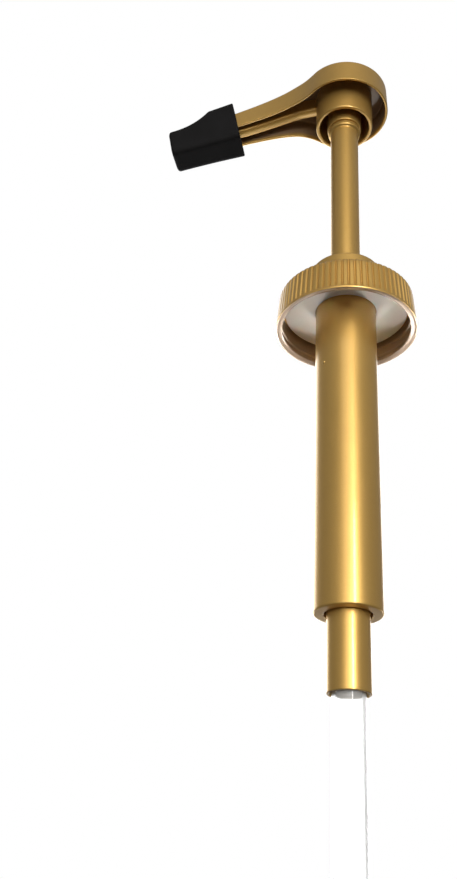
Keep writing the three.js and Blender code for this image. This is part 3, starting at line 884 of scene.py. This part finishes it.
def boot_outside(u, inset=0.0, low_round=2.4, high_round=1.0):
    """Ring of the boot's skin, whose walls sink in a little between the ends."""
    half = BOOT_SIDE["half"] - BOOT_SIDE["taper"] * u / BOOT_LENGTH
    half -= BOOT_SIDE["slump"] * math.sin(math.pi * u / BOOT_LENGTH)
    low = BOOT_SIDE["low"] + BOOT_SIDE["rise"] * u + inset
    return boot_ring(u, boot_section(half - inset, low, boot_top(u) - inset, low_round, high_round))


def boot_pocket():
    """Rings from the end of the pocket for the spout out to its mouth."""
    half, low, high = flank_half(FIT_AT) + GAP, BOOT_MOUTH["low"], BOOT_MOUTH["high"]
    pocket = boot_section(half, low, high, 0.6, 0.6)
    rings = []
    for share in (0.0, 0.5):
        rings.append(boot_ring(BOOT_MOUTH["deep"], shrunk(pocket, BOOT_MOUTH["middle"], share)))
    for u in (BOOT_MOUTH["deep"], 12.0, 6.0, 1.0, 0.4):
        rings.append(boot_ring(u, pocket))
    flare = BOOT_MOUTH["flare"]
    mouth = boot_section(half + flare, low - flare, high + flare, 0.8, 0.8)
    return rings + [boot_ring(0.05, mouth)]


def nozzle_boot():
    """Pocket, mouth, skin and closed tip as one lofted surface."""
    rings = boot_pocket()
    for inset in (1.2, 0.55):
        rings.append(boot_outside(0.0, inset, 1.8, 0.6))
    for step in range(1, 5):
        angle = math.pi / 2 * step / 4
        along, inset = MOUTH_ROUND * (1 - math.cos(angle)), MOUTH_ROUND * (1 - math.sin(angle))
        rings.append(boot_outside(along, inset))
    for u in np.linspace(1.0, BOOT_LENGTH - 1.7, 40):
        rings.append(boot_outside(float(u)))
    for step in range(1, 8):
        angle = math.pi / 2 * step / 7
        along = BOOT_LENGTH - TIP_ROUND + TIP_ROUND * math.sin(angle)
        rings.append(boot_outside(along, TIP_ROUND * (1 - math.cos(angle))))
    front = boot_section(BOOT_FRONT["half"], BOOT_FRONT["low"], BOOT_FRONT["high"], 1.0, 0.4)
    for share in (0.6, 0.0):
        rings.append(boot_ring(BOOT_LENGTH, shrunk(front, BOOT_FRONT["middle"], share)))
    return new_object("nozzle_boot_skin", *loft(rings, closed=False))


# ---- Pieces on their bodies ------------------------------------------------------

place(closure_cap(), "closure", "closure_cap", GOLD)
place(lock_hub(), "barrel", "lock_hub", GOLD)
place(gasket_disc(), "barrel", "gasket_disc", FOAM)
place(pump_cylinder(), "barrel", "pump_cylinder", GOLD)
place(foot_valve_housing(), "barrel", "foot_valve_housing", GOLD)
place(dip_tube(), "barrel", "dip_tube", TUBE_PLASTIC)
place(piston_rod(), "plunger", "piston_rod", GOLD)
place(spout_head(), "plunger", "spout_head", GOLD)
place(nozzle_boot(), "plunger", "nozzle_boot", BOOT_RUBBER)

# The inner pieces keep the mesh of their CAD node.
CARRIED = {
    "guide_bushing": NATURAL,
    "rod_wiper": SEAL_RUBBER,
    "inlet_ball_cage": NATURAL,
    "inlet_ball": STEEL,
    "piston_body": NATURAL,
    "piston_seal": SEAL_RUBBER,
    "piston_retainer": NATURAL,
    "spring_washer": STEEL,
    "outlet_ball": STEEL,
    "outlet_ball_stop": NATURAL,
    "rod_top_seal": SEAL_RUBBER,
}
for node_name, material in CARRIED.items():
    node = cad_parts[node_name]
    for index in range(len(node.material_slots)):
        node.material_slots[index].material = material

spring = place(return_spring(), "barrel", "return_spring", STEEL)
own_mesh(spring)


# ---- Floor, light and camera -------------------------------------------------------


FLOOR_BELOW = 0.006
FLOOR_REACH = 3.0


def paper_material():
    """Pale to the camera, a softer grey to the object, and clear from below to show the underside."""
    m = Nodes("floor_paper")
    tone = m.noise(6, 3.0, 0.5)
    pale = m.blend(tone, (0.28, 0.28, 0.28), (0.32, 0.32, 0.32))
    seen = m.add("ShaderNodeLightPath").outputs["Is Camera Ray"]
    m.set(Base_Color=m.blend(seen, (0.13, 0.126, 0.12), pale), Roughness=0.9)
    m.set(Emission_Color=(1.0, 1.0, 1.0), Emission_Strength=m.spread(seen, 0.0, 1.0, 0.0, 0.7))
    clear = m.add("ShaderNodeBsdfTransparent")
    one_sided = m.add("ShaderNodeMixShader")
    m.link(m.add("ShaderNodeNewGeometry").outputs["Backfacing"], one_sided.inputs["Fac"])
    m.link(m.shader.outputs["BSDF"], one_sided.inputs[1])
    m.link(clear.outputs["BSDF"], one_sided.inputs[2])
    m.link(one_sided.outputs["Shader"], m.output.inputs["Surface"])
    return m.material


def studio_floor():
    """Sheet of paper just under the lowest point of the pump."""
    z = CAD_BOX[0].z - FLOOR_BELOW
    points = [(x, y, z) for x in (-FLOOR_REACH, FLOOR_REACH) for y in (-FLOOR_REACH, FLOOR_REACH)]
    mesh = bpy.data.meshes.new("studio_floor")
    mesh.from_pydata(points, [], [(0, 2, 3, 1)])
    mesh.materials.append(paper_material())
    floor = bpy.data.objects.new("studio_floor", mesh)
    bpy.context.scene.collection.objects.link(floor)


def area_light(name, place_at, look_at, size_x, size_y, power, colour=(1, 1, 1), spread=110):
    """Soft light that the camera doesn't see; metres, watts and degrees."""
    data = bpy.data.lights.new(name, "AREA")
    data.shape = "RECTANGLE"
    data.size, data.size_y = size_x, size_y
    data.energy = power
    data.color = colour
    data.spread = math.radians(spread)
    light = bpy.data.objects.new(name, data)
    light.location = place_at
    aim = Vector(look_at) - Vector(place_at)
    light.rotation_mode = "QUATERNION"
    light.rotation_quaternion = aim.to_track_quat("-Z", "Y")
    light.visible_camera = False
    bpy.context.scene.collection.objects.link(light)


def studio_world():
    """Pale surroundings: the backdrop is nearly white, and what the object reflects is a softer grey."""
    world = bpy.data.worlds.new("studio_world")
    world.use_nodes = True
    tree = world.node_tree
    tree.nodes.clear()

    def add(kind, **settings):
        node = tree.nodes.new(kind)
        for key, value in settings.items():
            setattr(node, key, value)
        return node

    output = add("ShaderNodeOutputWorld")
    seen = add("ShaderNodeBackground")
    seen.inputs["Color"].default_value = (1.0, 1.0, 1.0, 1.0)
    around = add("ShaderNodeBackground")
    around.inputs["Color"].default_value = (1.0, 0.97, 0.93, 1.0)
    height = add("ShaderNodeSeparateXYZ")
    tree.links.new(add("ShaderNodeTexCoord").outputs["Generated"], height.inputs["Vector"])
    strength = add("ShaderNodeMapRange", interpolation_type="SMOOTHSTEP")
    limits = {"From Min": -0.45, "From Max": 0.15, "To Min": 0.05, "To Max": 0.24}
    for name, number in limits.items():
        strength.inputs[name].default_value = number
    tree.links.new(height.outputs["Z"], strength.inputs["Value"])
    tree.links.new(strength.outputs["Result"], around.inputs["Strength"])
    path = add("ShaderNodeLightPath")
    straight = add("ShaderNodeMath", operation="MAXIMUM")
    tree.links.new(path.outputs["Is Camera Ray"], straight.inputs[0])
    tree.links.new(path.outputs["Is Transmission Ray"], straight.inputs[1])
    mix = add("ShaderNodeMixShader")
    tree.links.new(straight.outputs["Value"], mix.inputs["Fac"])
    tree.links.new(around.outputs["Background"], mix.inputs[1])
    tree.links.new(seen.outputs["Background"], mix.inputs[2])
    tree.links.new(mix.outputs["Shader"], output.inputs["Surface"])
    bpy.context.scene.world = world


CAMERA_TURN = math.radians(5.0)  # the camera's place and heading were fitted in a frame turned by this
CAMERA_PLACE = Vector((0, -0.2933, -0.2238))
CAMERA_HEADING = -0.1506
CAMERA_RISE = 0.5101
CAMERA_ROLL = 0.0654
FOCAL_OVER_HEIGHT = 896.41 / 879
SENSOR = 36


def studio_camera():
    """Camera close to the pump, low in front of it and looking up."""
    heading = CAMERA_HEADING - CAMERA_TURN
    place_at = Matrix.Rotation(CAMERA_TURN, 3, "Z") @ CAMERA_PLACE
    flat = math.cos(CAMERA_RISE)
    forward = Vector((math.sin(heading) * flat, math.cos(heading) * flat, math.sin(CAMERA_RISE)))
    level = Vector((math.cos(heading), -math.sin(heading), 0))
    above = level.cross(forward)
    right = math.cos(CAMERA_ROLL) * level + math.sin(CAMERA_ROLL) * above
    over = -math.sin(CAMERA_ROLL) * level + math.cos(CAMERA_ROLL) * above
    data = bpy.data.cameras.new("camera")
    data.sensor_width = SENSOR
    data.lens = FOCAL_OVER_HEIGHT * SENSOR
    data.clip_start, data.clip_end = 0.01, 20
    camera = bpy.data.objects.new("camera", data)
    turned_to = Matrix((right, over, -forward)).transposed()
    camera.matrix_world = Matrix.Translation(place_at) @ turned_to.to_4x4()
    bpy.context.scene.collection.objects.link(camera)
    bpy.context.scene.camera = camera


PALE_WHITE = (1.0, 0.97, 0.92)
CREAM_WHITE = (1.0, 0.96, 0.90)
WARM_WHITE = (1.0, 0.95, 0.86)

studio_floor()
studio_world()
studio_camera()
area_light("back_light", (-0.30, 0.75, 0.05), (-0.1, 0, -0.05), 1.4, 1.7, 13)
area_light("low_left_light", (-0.13, 0.26, -0.19), (0, 0, -0.03), 0.22, 0.10, 0.052, spread=24)
area_light("low_right_light", (0.13, 0.26, -0.19), (0, 0, -0.03), 0.22, 0.10, 0.058, spread=24)
area_light("rim_light", (0.0, 0.32, -0.20), (-0.02, 0, 0.12), 0.50, 0.08, 0.014, spread=32)
area_light("low_front_light", (0.10, -0.90, -0.12), (0, 0, 0.05), 0.90, 0.20, 0.95, CREAM_WHITE)
area_light("strip_light", (0.50, -1.0, 0.10), (0, 0, -0.05), 0.14, 0.60, 2.6, PALE_WHITE)
area_light("soft_light", (0.18, -1.0, 0.28), (0, 0, 0.05), 0.80, 1.1, 1.35, WARM_WHITE)

bpy.context.scene.view_settings.view_transform = "Standard"
